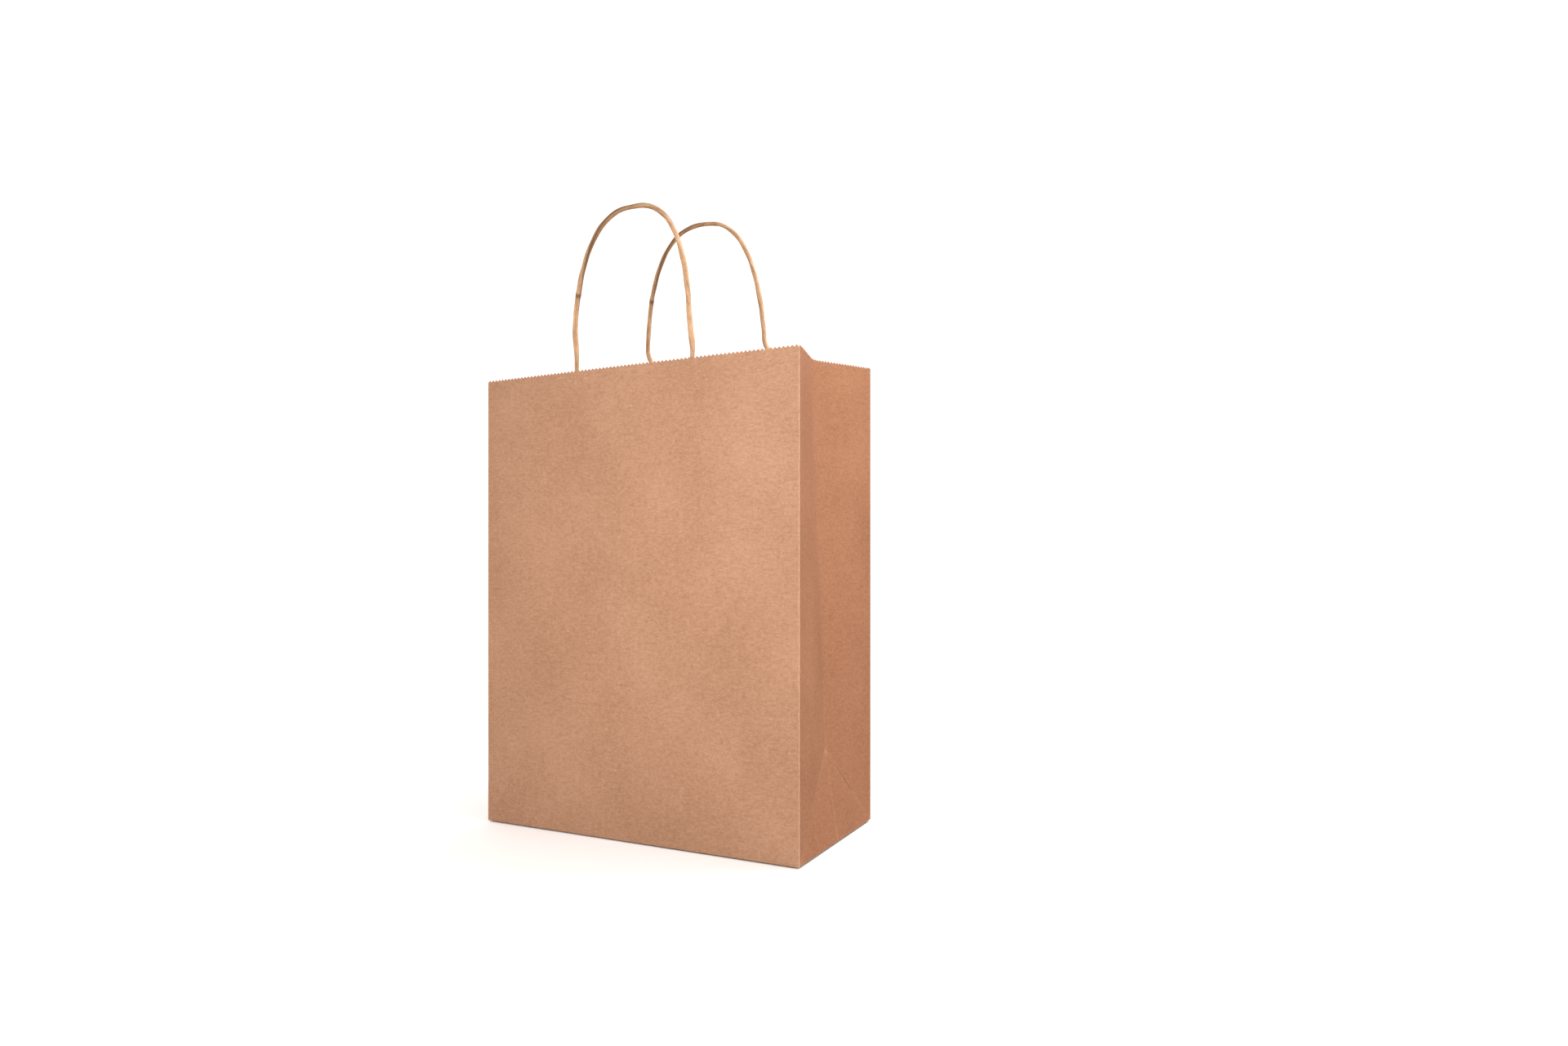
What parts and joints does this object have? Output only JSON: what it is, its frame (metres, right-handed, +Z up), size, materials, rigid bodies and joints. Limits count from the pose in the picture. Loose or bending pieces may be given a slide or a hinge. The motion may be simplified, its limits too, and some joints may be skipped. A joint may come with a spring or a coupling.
{
  "type": "gift bag",
  "caption": "Plain brown kraft paper gift bag with folded side gussets, a pinked top edge, a glued flat base and two twisted-paper cord handles.",
  "frame": {"origin": "middle of the base, on the surface that the bag stands on", "axes": "X along the wide panels, front panel on the -Y side, +Z up towards the mouth and handles"},
  "size_m": [0.2544, 0.1246, 0.4605],
  "materials": {
    "kraft_paper": "matt machine-glazed brown kraft",
    "kraft_patch": "matt brown kraft reinforcement paper",
    "kraft_cord": "tightly twisted brown kraft paper, slight sheen"
  },
  "bodies": {
    "front_panel": {"front_panel": "kraft_paper", "front_patch_outer": "kraft_patch", "front_patch_inner": "kraft_patch", "front_handle_ends": "kraft_cord"},
    "right_gusset_front": {"right_gusset_front": "kraft_paper"},
    "right_gusset_back": {"right_gusset_back": "kraft_paper"},
    "left_gusset_front": {"left_gusset_front": "kraft_paper"},
    "left_gusset_back": {"left_gusset_back": "kraft_paper"},
    "back_panel": {"back_panel": "kraft_paper", "back_patch_outer": "kraft_patch", "back_patch_inner": "kraft_patch", "back_handle_ends": "kraft_cord", "seam_tab_upper": "kraft_paper"},
    "back_fold_strip": {"back_fold_strip": "kraft_paper", "seam_tab_lower": "kraft_paper"},
    "right_foot_corner": {"right_foot_corner": "kraft_paper"},
    "left_foot_corner": {"left_foot_corner": "kraft_paper"},
    "base": {"base_front_flap": "kraft_paper", "base_back_flap": "kraft_paper", "base_left_flap": "kraft_paper", "base_right_flap": "kraft_paper"},
    "right_foot_triangle": {"right_foot_triangle": "kraft_paper"},
    "left_foot_triangle": {"left_foot_triangle": "kraft_paper"},
    "front_handle": {"front_handle_loop": "kraft_cord"},
    "back_handle": {"back_handle_loop": "kraft_cord"}
  },
  "joints": [
    {"name": "gusset_fold", "type": "hinge", "parent": "front_panel", "child": "right_gusset_front", "pos_m": [0.127, -0.06211, 0], "axis": [0, 0, 1], "range_deg": [0, 72]},
    {"name": "right_crease", "type": "hinge", "parent": "right_gusset_front", "child": "right_gusset_back", "pos_m": [0.114, 0, 0], "axis": [0, 0, -1], "range_deg": [0, 144]},
    {"name": "right_back_corner", "type": "hinge", "parent": "right_gusset_back", "child": "back_panel", "pos_m": [0.127, 0.06211, 0], "axis": [0, 0, 1], "range_deg": [0, 72]},
    {"name": "left_front_corner", "type": "hinge", "parent": "front_panel", "child": "left_gusset_front", "pos_m": [-0.127, -0.06211, 0], "axis": [0, 0, -1], "range_deg": [0, 72]},
    {"name": "left_crease", "type": "hinge", "parent": "left_gusset_front", "child": "left_gusset_back", "pos_m": [-0.114, 0, 0], "axis": [0, 0, 1], "range_deg": [0, 144]},
    {"name": "back_level_crease", "type": "hinge", "parent": "back_panel", "child": "back_fold_strip", "pos_m": [0, 0.06231, 0.0635], "axis": [1, 0, 0], "range_deg": [0, 142.48]},
    {"name": "base_back_fold", "type": "hinge", "parent": "back_fold_strip", "child": "base", "pos_m": [0, 0.06211, 0.0006], "axis": [-1, 0, 0], "range_deg": [0, 77.4]},
    {"name": "right_foot_fold", "type": "hinge", "parent": "base", "child": "right_foot_triangle", "pos_m": [0.127, 0, 0.0006], "axis": [0, -1, 0], "range_deg": [0, 75.01]},
    {"name": "left_foot_fold", "type": "hinge", "parent": "base", "child": "left_foot_triangle", "pos_m": [-0.127, 0, 0.0006], "axis": [0, 1, 0], "range_deg": [0, 75.01]},
    {"name": "right_foot_corner_fold", "type": "hinge", "parent": "back_fold_strip", "child": "right_foot_corner", "pos_m": [0.127, 0.06211, 0], "axis": [0, 0, -1], "range_deg": [0, 71.51], "deforming": ["right_foot_corner"]},
    {"name": "left_foot_corner_fold", "type": "hinge", "parent": "back_fold_strip", "child": "left_foot_corner", "pos_m": [-0.127, 0.06211, 0], "axis": [0, 0, 1], "range_deg": [0, 71.51], "deforming": ["left_foot_corner"]},
    {"name": "front_handle_hinge", "type": "hinge", "parent": "front_panel", "child": "front_handle", "pos_m": [0, -0.06041, 0.332], "axis": [1, 0, 0], "range_deg": [-22, 90]},
    {"name": "back_handle_hinge", "type": "hinge", "parent": "back_panel", "child": "back_handle", "pos_m": [0, 0.06041, 0.332], "axis": [-1, 0, 0], "range_deg": [-28, 90]}
  ],
  "couplings": [
    {"joint": "right_crease", "follows": "gusset_fold", "ratio": 2},
    {"joint": "right_back_corner", "follows": "gusset_fold", "ratio": 1},
    {"joint": "left_front_corner", "follows": "gusset_fold", "ratio": 1},
    {"joint": "left_crease", "follows": "gusset_fold", "ratio": 2},
    {"joint": "back_level_crease", "follows": "gusset_fold", "ratio": 1.9788},
    {"joint": "base_back_fold", "follows": "gusset_fold", "ratio": 1.0749},
    {"joint": "right_foot_fold", "follows": "gusset_fold", "ratio": 1.0417},
    {"joint": "left_foot_fold", "follows": "gusset_fold", "ratio": 1.0417},
    {"joint": "right_foot_corner_fold", "follows": "gusset_fold", "ratio": 0.99306},
    {"joint": "left_foot_corner_fold", "follows": "gusset_fold", "ratio": 0.99306}
  ]
}
